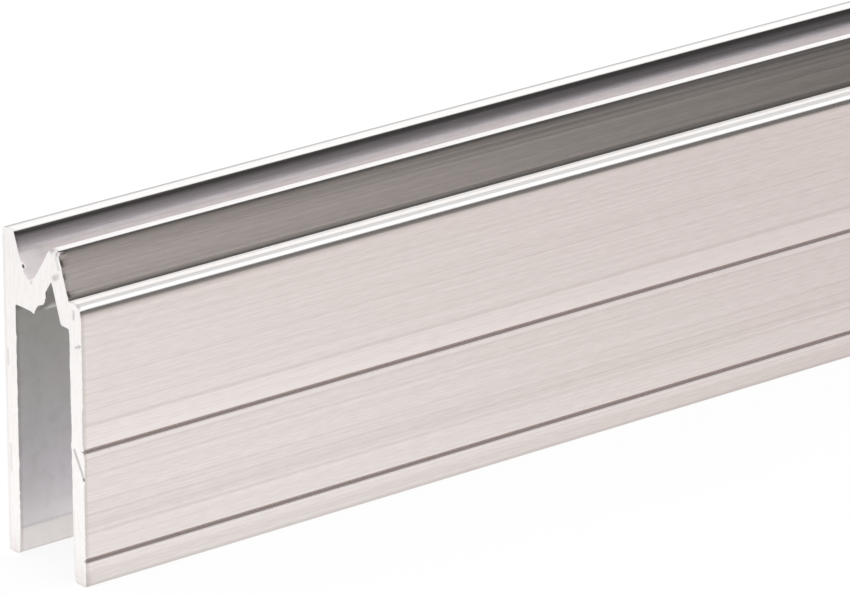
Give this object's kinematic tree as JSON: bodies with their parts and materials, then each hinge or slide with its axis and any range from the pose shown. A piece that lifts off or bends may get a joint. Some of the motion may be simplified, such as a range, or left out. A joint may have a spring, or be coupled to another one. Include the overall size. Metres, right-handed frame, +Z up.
{
  "type": "aluminium extrusion profile",
  "caption": "Long extruded bar: two legs grip a panel edge, and a lip, groove, ridge and ledge on top close on a second bar of the same section.",
  "frame": {"origin": "middle of the bar's box, at the level of its leg tips", "axes": "+X along the bar, -Y out of the front face with the drill lines, +Z up to the interlock"},
  "size_m": [1, 0.01, 0.0266],
  "materials": {
    "mill_aluminium": "mill finish with lengthwise die lines and sawn ends"
  },
  "bodies": {
    "root": {"profile": "mill_aluminium"}
  },
  "joints": []
}
